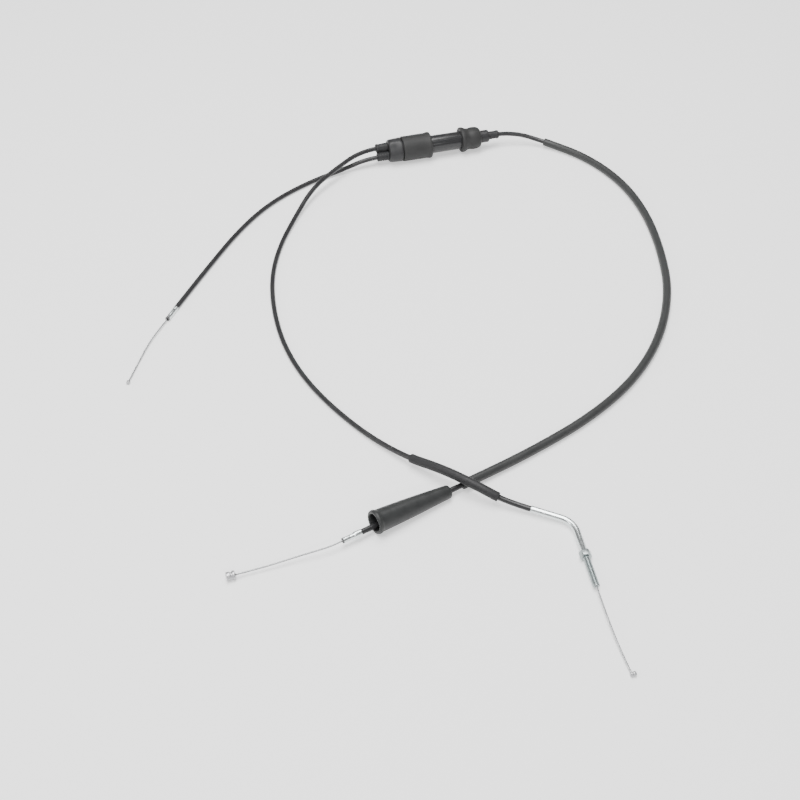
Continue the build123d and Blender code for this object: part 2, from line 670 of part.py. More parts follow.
def carb_cable():
    """The cable to the carburettor with its sleeve, elbow, nozzle, free wire and drum."""
    inside_elbow = Vector(*ELBOW_ROUTE[0]) + straight(*ELBOW_ROUTE[:2]) * ELBOW_SOCKET
    path = cord_path("carburettor cable", CARB_ROUTE + [tuple(inside_elbow)])
    end = path.length
    elbow = end - ELBOW_SOCKET
    core = (START_IN + TRAVEL + END_GAP, end - END_GAP)
    sleeve_r = JACKET_R + SHEATH_GAP
    sleeve_end = elbow - CARB_SLEEVE_END
    bend = cord_path("elbow", ELBOW_ROUTE, ELBOW_BEND_R)
    bend_core = bend.length - 2 * TRAVEL - STAY_IN - END_GAP
    inside = TRAVEL + STAY_IN
    return cable("carb", path, elbow, (end, end), core) | {
        "carb_sleeve": swept(
            path, sleeve_r + CARB_SLEEVE_WALL, sleeve_r, sleeve_end - CARB_SLEEVE_LENGTH, sleeve_end
        ),
        "elbow_tube": elbow_tube(bend),
        "elbow_core": swept(bend, WIRE_R, 0, ELBOW_SOCKET, bend_core),
        "elbow_fitting": elbow_fitting(),
        "carb_wire": free_wire("carburettor wire", CARB_WIRE_ROUTE, ELBOW_ROUTE, inside),
        "carb_nipple": carb_nipple(),
    }


def pump_cable():
    """The cable to the oil pump with its end tube, free wire and drum."""
    path = cord_path("oil pump cable", PUMP_ROUTE)
    end = path.length
    inside = TRAVEL + STAY_IN
    core = (START_IN + TRAVEL + END_GAP, end - inside - TRAVEL - END_GAP)
    seat = end - PUMP_FERRULE_END_WALL - NEST_GAP
    return cable("pump", path, end - PUMP_FERRULE_LENGTH - NEST_GAP, (seat, end - 0.5), core) | {
        "pump_ferrule": pump_ferrule(),
        "pump_wire": free_wire("oil pump wire", PUMP_WIRE_ROUTE, PUMP_ROUTE, inside),
        "pump_nipple": pump_nipple(),
    }


os.makedirs("parts", exist_ok=True)
nodes = splitter() | slider_group() | throttle_cable() | carb_cable() | pump_cable()
for node, shape in nodes.items():
    export_step(shape, f"parts/{node}.step")
    print(node, round(shape.volume, 2), len(shape.solids()))
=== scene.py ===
import math

import bmesh
import bpy
from mathutils import Matrix, Vector


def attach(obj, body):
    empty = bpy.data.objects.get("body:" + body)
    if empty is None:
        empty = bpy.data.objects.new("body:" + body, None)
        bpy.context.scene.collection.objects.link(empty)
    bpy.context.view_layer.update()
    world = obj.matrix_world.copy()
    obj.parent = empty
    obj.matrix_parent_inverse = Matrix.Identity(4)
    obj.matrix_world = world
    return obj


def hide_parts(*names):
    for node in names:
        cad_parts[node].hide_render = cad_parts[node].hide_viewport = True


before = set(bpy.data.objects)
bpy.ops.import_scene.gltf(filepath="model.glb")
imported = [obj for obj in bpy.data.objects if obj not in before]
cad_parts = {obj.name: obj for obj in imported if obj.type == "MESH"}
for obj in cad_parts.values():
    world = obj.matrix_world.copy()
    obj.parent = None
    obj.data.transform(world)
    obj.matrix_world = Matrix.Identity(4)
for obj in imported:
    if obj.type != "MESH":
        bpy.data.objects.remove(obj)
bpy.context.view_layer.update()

MM = 0.001

# ---------------------------------------------------------------- camera
# The set is seen from the front, well above the table, through a long lens.
# The whole loop of the cables fits in a square frame with room round it.
EYE = Vector((-0.4283, -1.3163, 0.8679))
LOOK_AT = Vector((-0.1587, -0.3909, 0))
LENS = 63.27
SENSOR = 36
NEAREST = 0.01

camera = bpy.data.objects.new("camera", bpy.data.cameras.new("camera"))
bpy.context.scene.collection.objects.link(camera)
camera.location = EYE
camera.rotation_euler = (LOOK_AT - camera.location).to_track_quat("-Z", "Y").to_euler()
camera.data.sensor_width = SENSOR
camera.data.lens = LENS
camera.data.clip_start = NEAREST
bpy.context.scene.camera = camera

# ---------------------------------------------------------------- the three cables
# Each is a Bowden cable: a black PVC jacket, 5 mm across, over a wound steel conduit and
# a white liner. They lie loose on the table in the curves that their stiffness gives.
JACKET_R = 2.5 * MM
JACKET_ROUNDNESS, LAYER_ROUNDNESS = 8, 3
STEPS_PER_POINT = 18
LAYERS = {"conduit": 1.95 * MM, "liner": 1.15 * MM, "core": 0.75 * MM}

# heights and offsets in mm: the splitter's axis, its outlets on each side of that, and the
# cables where they lie on the table with and without the sheath, and where one crosses over
AXIS_Z = 14.75
OUTLET_Y, OUTLET_Z = 3.346, 3.716
SHEATH_LIE, LIE, OVER = 4.3, 2.6, 14.75

main_route = [
    (66, 0, AXIS_Z),
    (90, 0, AXIS_Z),
    (126, -19, 5.5),
    (160, -62, SHEATH_LIE),
    (178, -121, SHEATH_LIE),
    (178, -184, SHEATH_LIE),
    (166, -247, SHEATH_LIE),
    (146, -312, SHEATH_LIE),
    (109, -376, SHEATH_LIE),
    (60, -428, SHEATH_LIE),
    (0, -466, SHEATH_LIE),
    (-67, -493, SHEATH_LIE),
    (-124, -512.2, 5.7),
    (-244.33, -548.76, 7.35),
]
carb_route = [
    (-66, OUTLET_Y, AXIS_Z + OUTLET_Z),
    (-89, OUTLET_Y, AXIS_Z + OUTLET_Z),
    (-124, -18, 14.5),
    (-158, -46, 12.5),
    (-187, -84, 4),
    (-214, -129, LIE),
    (-234, -181, LIE),
    (-244, -243, LIE),
    (-244, -302, LIE),
    (-232, -360, LIE),
    (-206, -422, LIE),
    (-179, -468, 6),
    (-152, -503, OVER),
    (-129, -532, OVER),
    (-110.9, -546.3, 6.9),
    (-93, -560, 6),
]
pump_route = [
    (-66, -OUTLET_Y, AXIS_Z - OUTLET_Z),
    (-85, -OUTLET_Y, AXIS_Z - OUTLET_Z),
    (-112, -6, 4.2),
    (-157, -19, LIE),
    (-205, -46, LIE),
    (-247, -86, LIE),
    (-291, -142, LIE),
    (-334.04, -199.91, LIE),
]


def metres(points):
    """Route points in metres."""
    return [Vector(point) * MM for point in points]


def cable(name, points, radius):
    """A smooth round cable through the route, as one NURBS curve."""
    curve = bpy.data.curves.new(name, "CURVE")
    curve.dimensions = "3D"
    curve.bevel_depth = radius
    curve.bevel_resolution = JACKET_ROUNDNESS
    curve.use_fill_caps = True
    spline = curve.splines.new("NURBS")
    spline.points.add(len(points) - 1)
    for knot, point in zip(spline.points, points):
        knot.co = (*point, 1)
    spline.order_u = 3
    spline.use_endpoint_u = True
    spline.resolution_u = STEPS_PER_POINT
    piece = bpy.data.objects.new(name, curve)
    bpy.context.scene.collection.objects.link(piece)
    return piece


def middle_line(points):
    """The points of the smooth line that a route's NURBS curve follows."""
    curve = cable("line", points, 0)
    mesh = bpy.data.meshes.new_from_object(curve)
    line = [vertex.co.copy() for vertex in mesh.vertices]
    bpy.data.objects.remove(curve)
    bpy.data.meshes.remove(mesh)
    return line


def length_of(line):
    """The length of a line of points, in metres."""
    return sum((b - a).length for a, b in zip(line, line[1:]))


def skin(name, dark, light, rough, metallic=0.0, patch=90, grain=2600, depth=0.02,
         stretch=(1, 1, 1), specular=0.5):
    """A surface with uneven colour and polish in soft patches, and a fine grain depth mm deep."""
    material = bpy.data.materials.new(name)
    material.use_nodes = True
    nodes, link = material.node_tree.nodes, material.node_tree.links.new
    shader = nodes["Principled BSDF"]
    shader.inputs["Metallic"].default_value = metallic
    shader.inputs["Specular IOR Level"].default_value = specular
    place = nodes.new("ShaderNodeTexCoord")
    lie = nodes.new("ShaderNodeMapping")
    lie.inputs["Scale"].default_value = stretch
    link(place.outputs["Object"], lie.inputs["Vector"])
    clouds = nodes.new("ShaderNodeTexNoise")
    clouds.inputs["Scale"].default_value = patch
    clouds.inputs["Detail"].default_value = 5
    clouds.inputs["Roughness"].default_value = 0.6
    link(lie.outputs["Vector"], clouds.inputs["Vector"])
    colour = nodes.new("ShaderNodeMix")
    colour.data_type = "RGBA"
    colour.inputs["A"].default_value = (*dark, 1)
    colour.inputs["B"].default_value = (*light, 1)
    link(clouds.outputs["Fac"], colour.inputs["Factor"])
    link(colour.outputs["Result"], shader.inputs["Base Color"])
    polish = nodes.new("ShaderNodeMapRange")
    polish.inputs["From Min"].default_value = 0.3
    polish.inputs["From Max"].default_value = 0.7
    polish.inputs["To Min"].default_value = rough[0]
    polish.inputs["To Max"].default_value = rough[1]
    link(clouds.outputs["Fac"], polish.inputs["Value"])
    link(polish.outputs["Result"], shader.inputs["Roughness"])
    fine = nodes.new("ShaderNodeTexNoise")
    fine.inputs["Scale"].default_value = grain
    fine.inputs["Detail"].default_value = 3
    link(lie.outputs["Vector"], fine.inputs["Vector"])
    bump = nodes.new("ShaderNodeBump")
    bump.inputs["Strength"].default_value = 0.6
    bump.inputs["Distance"].default_value = depth * MM
    link(fine.outputs["Fac"], bump.inputs["Height"])
    link(bump.outputs["Normal"], shader.inputs["Normal"])
    return material


jacket_pvc = skin("jacket_pvc", (0.012, 0.012, 0.013), (0.022, 0.022, 0.023), (0.28, 0.42),
                  grain=1400, depth=0.02, specular=0.35)
conduit_steel = skin("conduit_steel", (0.30, 0.30, 0.31), (0.44, 0.44, 0.45), (0.3, 0.5),
                     metallic=1)
liner_white = skin("liner_white", (0.74, 0.74, 0.70), (0.84, 0.84, 0.80), (0.35, 0.5))
wire_steel = skin("wire_steel", (0.30, 0.305, 0.31), (0.46, 0.465, 0.47), (0.26, 0.40),
                  metallic=1, patch=700, depth=0.01)
layer_finish = {"conduit": conduit_steel, "liner": liner_white, "core": wire_steel}

# the fixed core of a cable stops clear of its end wire: the throttle wire slides outwards
# only, and the pump wire slides 20 mm further in
MAIN_CORE_END = (-230.6, -544.59, 7.17)
PUMP_CORE_END = (-318.86, -179.48, LIE)

for name, route, core_end in (
    ("main", main_route, MAIN_CORE_END),
    ("carb", carb_route, carb_route[-1]),
    ("pump", pump_route, PUMP_CORE_END),
):
    points = metres(route)
    jacket = cable(f"{name}_cable", points, JACKET_R)
    jacket.data.materials.append(jacket_pvc)
    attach(jacket, "cable_set")
    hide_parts(f"{name}_jacket")
    for layer, radius in LAYERS.items():
        line = metres(route[:-1] + [core_end]) if layer == "core" else points
        inner = cable(f"{name}_cable_{layer}", line, radius)
        inner.data.bevel_resolution = LAYER_ROUNDNESS
        inner.data.materials.append(layer_finish[layer])
        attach(inner, "cable_set")
        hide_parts(f"{name}_{layer}")

# ---------------------------------------------------------------- sheath and sleeve
# A thick vinyl sheath covers the throttle cable from just past the splitter to the boot.
# A shorter rubber sleeve guards the carburettor cable where it crosses over it.
SHEATH_R, SLEEVE_R = 4.25 * MM, 4.15 * MM
SLEEVE_BORE_R = 2.62 * MM
SLEEVE_EDGE = 0.5 * MM

# in metres along each cable: from the splitter to the sheath, and from the sheath's and
# the sleeve's ends to the far end of their cables
SHEATH_START, SHEATH_TO_GRIP = 0.061, 0.1095
SLEEVE_START_TO_ELBOW, SLEEVE_TO_ELBOW = 0.119, 0.029


def frames_on(line):
    """Distance, point and two side directions at every point of a line, without twist."""
    side = Vector((0, 0, 1)).cross(line[1] - line[0]).normalized()
    found, distance = [], 0.0
    for i, point in enumerate(line):
        ahead = line[min(i + 1, len(line) - 1)] - line[max(i - 1, 0)]
        ahead.normalize()
        side = (side - ahead * side.dot(ahead)).normalized()
        if i:
            distance += (point - line[i - 1]).length
        found.append((distance, point, side.copy(), ahead.cross(side)))
    return found


def frame_at(frames, distance):
    """The point and side directions a distance along the line."""
    for here, there in zip(frames, frames[1:]):
        if distance <= there[0]:
            break
    share = (distance - here[0]) / (there[0] - here[0])
    return [here[i].lerp(there[i], share) for i in (1, 2, 3)]


def sleeve_on(name, line, outline, around=48, step=3 * MM):
    """A tube on a cable, ring by ring, from a closed outline of (distance, radius)."""
    frames = frames_on(line)
    stations = []
    for (a, ra), (b, rb) in zip(outline, outline[1:] + outline[:1]):
        parts = max(1, round(abs(b - a) / step))
        stations += [(a + (b - a) * i / parts, ra + (rb - ra) * i / parts) for i in range(parts)]
    shape = bmesh.new()
    rings = []
    for distance, radius in stations:
        point, side, up = frame_at(frames, distance)
        rings.append([
            shape.verts.new(point + radius * (math.cos(turn) * side + math.sin(turn) * up))
            for turn in (2 * math.pi * i / around for i in range(around))
        ])
    for ring, other in zip(rings, rings[1:] + rings[:1]):
        for i in range(around):
            shape.faces.new((ring[i - 1], other[i - 1], other[i], ring[i]))
    bmesh.ops.recalc_face_normals(shape, faces=shape.faces)
    mesh = bpy.data.meshes.new(name)
    shape.to_mesh(mesh)
    shape.free()
    piece = bpy.data.objects.new(name, mesh)
    bpy.context.scene.collection.objects.link(piece)
    return piece


def smooth(piece, degrees=40):
    """Shades a piece smooth but for its sharp edges."""
    bpy.ops.object.select_all(action="DESELECT")
    bpy.context.view_layer.objects.active = piece
    piece.select_set(True)
    bpy.ops.object.shade_smooth_by_angle(angle=math.radians(degrees))


def cut_tube(start, end, outer, inner, edge):
    """The outline of a tube with softened ends, in metres."""
    return [
        (start, inner),
        (start, outer - edge),
        (start + 0.3 * edge, outer - 0.3 * edge),
        (start + edge, outer),
        (end - edge, outer),
        (end - 0.3 * edge, outer - 0.3 * edge),
        (end, outer - edge),
        (end, inner),
    ]


sheath_vinyl = skin("sheath_vinyl", (0.022, 0.023, 0.023), (0.036, 0.037, 0.037), (0.38, 0.54),
                    patch=60, grain=900, depth=0.05, specular=0.28)
sleeve_rubber = skin("sleeve_rubber", (0.014, 0.014, 0.015), (0.026, 0.026, 0.027), (0.46, 0.60),
                     patch=140, grain=1600, depth=0.04, specular=0.22)

main_line = middle_line(metres(main_route))
main_length = length_of(main_line)
sheath = sleeve_on("sheath", main_line, cut_tube(
    SHEATH_START, main_length - SHEATH_TO_GRIP, SHEATH_R, SLEEVE_BORE_R, SLEEVE_EDGE))
sheath.data.materials.append(sheath_vinyl)
smooth(sheath)
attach(sheath, "cable_set")
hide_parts("main_sheath")

carb_line = middle_line(metres(carb_route))
carb_length = length_of(carb_line)
guard = sleeve_on("carb_sleeve_tube", carb_line, cut_tube(
    carb_length - SLEEVE_START_TO_ELBOW, carb_length - SLEEVE_TO_ELBOW,
    SLEEVE_R, SLEEVE_BORE_R, SLEEVE_EDGE))
guard.data.materials.append(sleeve_rubber)
smooth(guard)
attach(guard, "cable_set")
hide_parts("carb_sleeve")

# ---------------------------------------------------------------- inner wires
# Steel strand, 1.5 mm across, six wires laid round a seventh. The throttle wire is the
# long one at the grip end. Each also reaches 25 mm back into its cable, to slide in it.
WIRE_R = 0.75 * MM
WIRE_LAY = 9 * MM
OUTER_WIRES = 6
POINTS_PER_WIRE = 7
RING_STEP = 0.6 * MM

throttle_wire_route = [
    (-231.08, -544.73, 7.17),
    (-255, -552, 7.5),
    (-268, -555.9, 7.7),
    (-294, -556.5, 5.5),
    (-322, -559, 3.9),
    (-354, -560.5, 3.9),
]
carb_wire_route = [
    (-68.6, -628.97, 4.5),
    (-71.5, -653.8, 4.5),
    (-75.9, -691.5, 4.5),
    (-77.3, -718, 2.5),
    (-77.6, -740, 2.1),
]
pump_wire_route = [
    (-331.09, -195.94, 2.6),
    (-346, -216, 2.6),
    (-367.5, -244.9, 2.6),
    (-382, -271.5, 1.7),
    (-396.8, -299.6, 1.7),
]


def strand_on(name, line):
    """Six wires twisted round a seventh, drawn as one rope with six lobes."""
    frames = frames_on(line)
    lobe_at, lobe_r = WIRE_R * 2 / 3, WIRE_R / 3
    around = OUTER_WIRES * POINTS_PER_WIRE
    end = frames[-1][0]
    count = round(end / RING_STEP)
    shape = bmesh.new()
    rings = []
    for k in range(count + 1):
        distance = end * k / count
        point, side, up = frame_at(frames, distance)
        ring = []
        for i in range(around):
            wire, place = divmod(i, POINTS_PER_WIRE)
            angle = ((place + 0.5) / POINTS_PER_WIRE * 2 - 1) * math.pi / OUTER_WIRES
            off = lobe_at * math.sin(angle)
            reach = lobe_at * math.cos(angle) + math.sqrt(max(0, lobe_r**2 - off**2))
            spin = angle + wire * math.tau / OUTER_WIRES + math.tau * distance / WIRE_LAY
            ring.append(shape.verts.new(
                point + reach * (math.cos(spin) * side + math.sin(spin) * up)))
        rings.append(ring)
    for ring, other in zip(rings, rings[1:]):
        for i in range(around):
            shape.faces.new((ring[i - 1], other[i - 1], other[i], ring[i]))
    shape.faces.new(rings[0])
    shape.faces.new(list(reversed(rings[-1])))
    bmesh.ops.recalc_face_normals(shape, faces=shape.faces)
    mesh = bpy.data.meshes.new(name)
    shape.to_mesh(mesh)
    shape.free()
    piece = bpy.data.objects.new(name, mesh)
    bpy.context.scene.collection.objects.link(piece)
    piece.data.materials.append(wire_steel)
    smooth(piece, 60)
    return piece


wires = {}
for name, route in (
    ("throttle_wire", throttle_wire_route),
    ("carb_wire", carb_wire_route),
    ("pump_wire", pump_wire_route),
):
    line = middle_line(metres(route))
    wire = strand_on(f"{name}_strand", line)
    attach(wire, name)
    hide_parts(name)
    wires[name] = (wire, line)

# ---------------------------------------------------------------- splitter tube
# A moulded black nylon tube, 20 mm across, in which the slider runs. It shows between the
# rubber sleeve and the rubber collar, and is drawn out with faint lines along it.


def turned(name, outline, around=72, ends="bridged"):
    """A turned piece along local Z: a circle extruded and resized to each (z, r) in mm."""
    bpy.ops.object.select_all(action="DESELECT")
    (z, r), rest = outline[0], outline[1:]
    bpy.ops.mesh.primitive_circle_add(vertices=around, radius=r * MM, fill_type="NOTHING",
                                      location=(0, 0, 0))
    piece = bpy.context.object
    piece.name = piece.data.name = name
    bpy.ops.object.mode_set(mode="EDIT")
    bpy.ops.mesh.select_all(action="SELECT")
    bpy.ops.transform.translate(value=(0, 0, z * MM))
    for next_z, next_r in rest:
        bpy.ops.mesh.extrude_edges_move(
            TRANSFORM_OT_translate={"value": (0, 0, (next_z - z) * MM)})
        bpy.ops.transform.resize(value=(next_r / r, next_r / r, 1),
                                 center_override=(0, 0, next_z * MM))
        z, r = next_z, next_r
    bpy.ops.mesh.select_mode(type="EDGE")
    bpy.ops.mesh.select_all(action="DESELECT")
    bpy.ops.mesh.select_non_manifold(extend=False)
    if ends == "bridged":
        bpy.ops.mesh.bridge_edge_loops()
    elif ends == "filled":
        bpy.ops.mesh.fill_holes(sides=0)
    bpy.ops.mesh.select_all(action="SELECT")
    bpy.ops.mesh.normals_make_consistent(inside=False)
    bpy.ops.mesh.select_mode(type="VERT")
    bpy.ops.object.mode_set(mode="OBJECT")
    return piece


def soften(piece, width, segments=3, degrees=28):
    """Rounds every edge sharper than the angle, by the width in mm."""
    bpy.ops.object.select_all(action="DESELECT")
    bpy.context.view_layer.objects.active = piece
    piece.select_set(True)
    bevel = piece.modifiers.new("edges", "BEVEL")
    bevel.width = width * MM
    bevel.segments = segments
    bevel.limit_method = "ANGLE"
    bevel.angle_limit = math.radians(degrees)
    bevel.use_clamp_overlap = True
    bpy.ops.object.modifier_apply(modifier=bevel.name)


def put(piece, origin, direction):
    """Moves a piece's mesh to an origin in mm, its local Z along the direction."""
    ahead = Vector(direction).normalized()
    side = Vector((0, 0, 1)).cross(ahead).normalized()
    turn = Matrix((side, ahead.cross(side), ahead)).transposed().to_4x4()
    piece.data.transform(Matrix.Translation(Vector(origin) * MM) @ turn)


ALONG = (1, 0, 0)
ON_AXIS = (0, 0, AXIS_Z)

tube_nylon = skin("tube_nylon", (0.012, 0.012, 0.013), (0.024, 0.024, 0.025), (0.20, 0.34),
                  patch=260, grain=1500, depth=0.03, stretch=(0.06, 1, 1), specular=0.42)
tube = turned("splitter_tube", [(-46, 8.2), (-46, 10), (44, 10), (44, 8.2)], around=96)
soften(tube, 0.3)
put(tube, ON_AXIS, ALONG)
tube.data.materials.append(tube_nylon)
smooth(tube)
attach(tube, "cable_set")
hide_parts("splitter_body")

# ---------------------------------------------------------------- outlet cap
# A black moulding pushed over the tube's end, in which the two branch cables are held one
# above the other. Its nose has a shallow hollow on each side between the two cables.
ROLL = math.radians(48)
CAP_SHOULDER, HOLLOW_FADE = -44, 8
HOLLOW_DEPTH, HOLLOW_WIDTH, HOLLOW_CURVE = 0.13, 0.16, 1.3
HOLLOW_FROM_R = 5
moulded_black = skin("moulded_black", (0.014, 0.014, 0.015), (0.028, 0.028, 0.029), (0.34, 0.50),
                     patch=150, grain=1800, depth=0.05, specular=0.28)

cap = turned("outlet_cap_moulding", [
    (-59, 2.6), (-59, 6), (-59, 10.6), (-58.7, 11.6), (-57.9, 12.45), (-56.4, 12.85), (-53, 13.05),
    (-50, 13.2), (-47, 13.35), (-44.9, 13.45), (-44.3, 13.25), (-44.0, 12.6), (-44.0, 11.4),
    (-34, 11.4), (-34, 10.05), (-46, 10.05), (-46, 2.6),
], around=96)
for vertex in cap.data.vertices:
    x, y, z = vertex.co / MM
    reach = math.hypot(x, y)
    if z < CAP_SHOULDER and reach > HOLLOW_FROM_R:
        across = abs(math.sin(math.atan2(y, x) - ROLL))
        fade = min(1.0, (CAP_SHOULDER - z) / HOLLOW_FADE)
        hollow = max(0.0, 1 - (1 - across) / HOLLOW_WIDTH) ** HOLLOW_CURVE
        vertex.co.xy *= 1 - HOLLOW_DEPTH * fade * hollow
soften(cap, 0.25, degrees=45)
put(cap, ON_AXIS, ALONG)
cap.data.materials.append(moulded_black)
smooth(cap, 45)
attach(cap, "cable_set")
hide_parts("outlet_cap")

# ---------------------------------------------------------------- outlet nozzles
# Two soft rubber nozzles keep water out of the branch cables. The lower one is ribbed so
# that it bends, and the upper one is plain with a bead at its tip. A web joins them.
WEB_FLAT, WEB_ABOVE_R = 4.99, 4.1
WEB_TIP, WEB_ROOT = -71.8, -59.05
WEB_HALF = math.radians(21)
RIBS, RIB_PITCH, FIRST_CREST = 4, 2.75, -60.2
nozzle_rubber = skin("nozzle_rubber", (0.014, 0.014, 0.015), (0.028, 0.028, 0.029), (0.46, 0.60),
                     patch=320, grain=2200, depth=0.05, specular=0.22)

ribbed = [(-57, 2.55), (-57, 4.0), (-59, 4.0), (-59.1, 4.8)]
for i in range(RIBS):
    crest = FIRST_CREST - RIB_PITCH * i
    ribbed += [(crest + 0.65, 4.9), (crest, 4.98), (crest - 0.65, 4.9), (crest - 1.05, 4.66),
               (crest - 1.38, 4.55), (crest - 1.71, 4.66)]
ribbed += [(-71.2, 4.8), (-71.9, 4.85), (-72.35, 4.5), (-72.5, 3.9), (-72.5, 2.55)]
plain = [
    (-57, 2.55), (-57, 4.0), (-59, 4.0), (-59.1, 4.9), (-60.2, 4.98), (-62.0, 4.97), (-64, 4.9),
    (-66.5, 4.78), (-68.8, 4.68), (-69.6, 4.7), (-70.2, 4.86), (-71.0, 4.95), (-71.8, 4.85),
    (-72.3, 4.45), (-72.5, 3.8), (-72.5, 2.55),
]
for name, outline, side in (("carb", plain, 1), ("pump", ribbed, -1)):
    nozzle = turned(f"{name}_outlet_nozzle", outline, around=72)
    for vertex in nozzle.data.vertices:
        x, y, z = vertex.co / MM
        aside = math.atan2(y, x) - ROLL + (math.pi if side == 1 else 0)
        aside = abs(math.remainder(aside, math.tau))
        reach = math.hypot(x, y)
        if reach > WEB_ABOVE_R and WEB_TIP < z < WEB_ROOT and aside < WEB_HALF:
            vertex.co.xy *= WEB_FLAT / math.cos(aside) / reach
    put(nozzle, (0, side * OUTLET_Y, AXIS_Z + side * OUTLET_Z), ALONG)
    nozzle.data.materials.append(nozzle_rubber)
    smooth(nozzle, 60)
    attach(nozzle, "cable_set")
    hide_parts(f"{name}_outlet_seal")

# ---------------------------------------------------------------- rubber sleeve
# A soft sleeve stretched over the joint between cap and tube. It grows a little towards
# its open end, where it rolls out into a flange that the splitter rests on.
joint_rubber = skin("joint_rubber", (0.018, 0.018, 0.018), (0.034, 0.034, 0.034), (0.48, 0.64),
                    patch=120, grain=1500, depth=0.06, specular=0.22)

cuff = turned("splitter_cuff", [
    (-42.9, 11.45), (-42.9, 12.9), (-42.65, 13.6), (-42.0, 13.95), (-40.6, 14.05), (-32, 14.08),
    (-22, 14.12), (-15.6, 14.15), (-14.4, 14.25), (-13.4, 14.5), (-12.5, 14.7), (-11.4, 14.74),
    (-10.5, 14.6), (-9.8, 14.2), (-9.5, 13.4), (-9.5, 12.6), (-9.9, 11.7), (-10.5, 10.8),
    (-10.7, 10.05), (-33.95, 10.05), (-33.95, 11.45),
], around=96)
put(cuff, ON_AXIS, ALONG)
cuff.data.materials.append(joint_rubber)
smooth(cuff, 60)
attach(cuff, "cable_set")
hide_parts("splitter_sleeve")

# ---------------------------------------------------------------- inlet end
# A plug closes the tube at the throttle end. A rubber collar with a lip, a waist and a
# bulge is pulled over the joint, and a rubber nose seals the throttle cable.
plug = turned("inlet_plug", [
    (34, 1.05), (34, 7.9), (34.25, 8.15), (44, 8.15), (44, 10), (48, 10), (48, 6.78), (51, 6.9),
    (55, 7.0), (58.6, 7.0), (59.4, 6.9), (59.9, 6.5), (60, 6.0), (60, 3.75), (57, 3.75), (57, 2.55),
    (52.3, 2.55), (52.3, 3.25), (42, 3.25), (42, 1.05),
])
soften(plug, 0.12, segments=2, degrees=60)
nose = turned("inlet_nose", [
    (57, 2.55), (57, 3.7), (60, 3.7), (60.05, 4.45), (60.3, 4.6), (64, 4.5), (68.8, 4.42),
    (69.4, 4.62), (70.4, 4.74), (71.4, 4.7), (72.1, 4.4), (72.5, 3.8), (72.5, 2.55),
], around=56)
collar = turned("inlet_collar_rubber", [
    (26.3, 10.05), (26.3, 13.0), (26.5, 13.7), (27, 14.05), (28.2, 14.15), (29.6, 14.0),
    (30.9, 13.5), (32.2, 12.75), (33.5, 12.15), (34.9, 11.85), (36.4, 11.9), (37.9, 12.15),
    (39.4, 12.4), (41, 12.5), (43, 12.45), (44.8, 12.25), (46.4, 11.9), (47.6, 11.5),
    (48.6, 10.9), (49.3, 10.1), (49.55, 9.3), (49.55, 6.83), (48.05, 6.83), (48.05, 10.05),
], around=96)
for piece, node, finish, slot in (
    (plug, "inlet_cap", moulded_black, "black_plastic"),
    (nose, "inlet_seal", nozzle_rubber, "black_rubber"),
    (collar, "inlet_collar", joint_rubber, "black_rubber"),
):
    put(piece, ON_AXIS, ALONG)
    piece.data.materials.append(finish)
    smooth(piece, 50)
    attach(piece, "cable_set")
    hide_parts(node)

# ---------------------------------------------------------------- inside the splitter
# The acetal slider, its three cast nipples, the steel ferrules on the cable ends and the
# short wires keep their own solids, since the tube and the caps close them in. So does the
# wire inside the elbow.
slider_acetal = skin("slider_acetal", (0.62, 0.61, 0.56), (0.72, 0.71, 0.66), (0.28, 0.42))
cast_zinc = skin("cast_zinc", (0.34, 0.34, 0.35), (0.54, 0.54, 0.55), (0.34, 0.52),
                 metallic=1, patch=420, grain=3200, depth=0.05)
ferrule_steel = skin("ferrule_steel", (0.62, 0.63, 0.64), (0.78, 0.79, 0.80), (0.20, 0.34),
                     metallic=1, patch=300, depth=0.015)
for finish, names in (
    (slider_acetal, ["slider"]),
    (cast_zinc, ["slider_main_nipple", "slider_carb_nipple", "slider_pump_nipple"]),
    (ferrule_steel, ["main_inner_ferrule", "carb_inner_ferrule", "pump_inner_ferrule"]),
    (wire_steel, ["main_slider_wire", "carb_slider_wire", "pump_slider_wire", "elbow_core"]),
):
    for name in names:
        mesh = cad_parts[name].data
        mesh.materials.clear()
        mesh.materials.append(finish)

# ---------------------------------------------------------------- throttle ferrule
# A zinc-plated steel end cap, turned in two diameters and crimped with one waist in its
# thinner nose, which sits in the adjuster at the grip. Its tip is painted near black, as painted
# shade for the dark mouth of its bore.
THROTTLE_TIP = (-255, -552, 7.5)
TO_GRIP = (-0.95673, -0.29067, 0.01315)
zinc_plate = skin("zinc_plate", (0.60, 0.64, 0.64), (0.74, 0.77, 0.77), (0.22, 0.36),
                  metallic=1, patch=240, grain=1800, depth=0.006)
# painted shade: near black, laid on the ends of the ferrules where the mouth of the bore is in
# shade
tip_painted_shade = skin("tip_painted_shade", (0.035, 0.035, 0.036), (0.08, 0.08, 0.082), (0.4, 0.6),
                patch=500, depth=0.01)

end_cap = turned("throttle_end_cap", [
    (-18, 2.56), (-18, 2.8), (-17.8, 2.95), (-12.1, 2.95), (-11.6, 2.9), (-10.9, 2.5),
    (-10.5, 2.38), (-10.2, 2.35), (-9.6, 2.35), (-8.4, 2.34), (-7.8, 2.25), (-7.2, 2.2),
    (-6.6, 2.25), (-6.0, 2.34), (-4.4, 2.35), (-0.9, 2.35), (-0.35, 2.35), (-0.1, 2.25),
    (0, 2.0), (0, 1.2), (-11.1, 1.2), (-11.1, 2.56),
], around=64)


def paint_tip_shade(piece, length):
    """Plates a turned end with zinc, and paints its last stretch, length mm long, near black as
    painted shade for the mouth of its bore.
    """
    piece.data.materials.append(zinc_plate)
    piece.data.materials.append(tip_painted_shade)
    for face in piece.data.polygons:
        if face.center.z > -length * MM:
            face.material_index = 1


paint_tip_shade(end_cap, 0.9)
put(end_cap, THROTTLE_TIP, TO_GRIP)
smooth(end_cap, 35)
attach(end_cap, "cable_set")
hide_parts("throttle_ferrule")

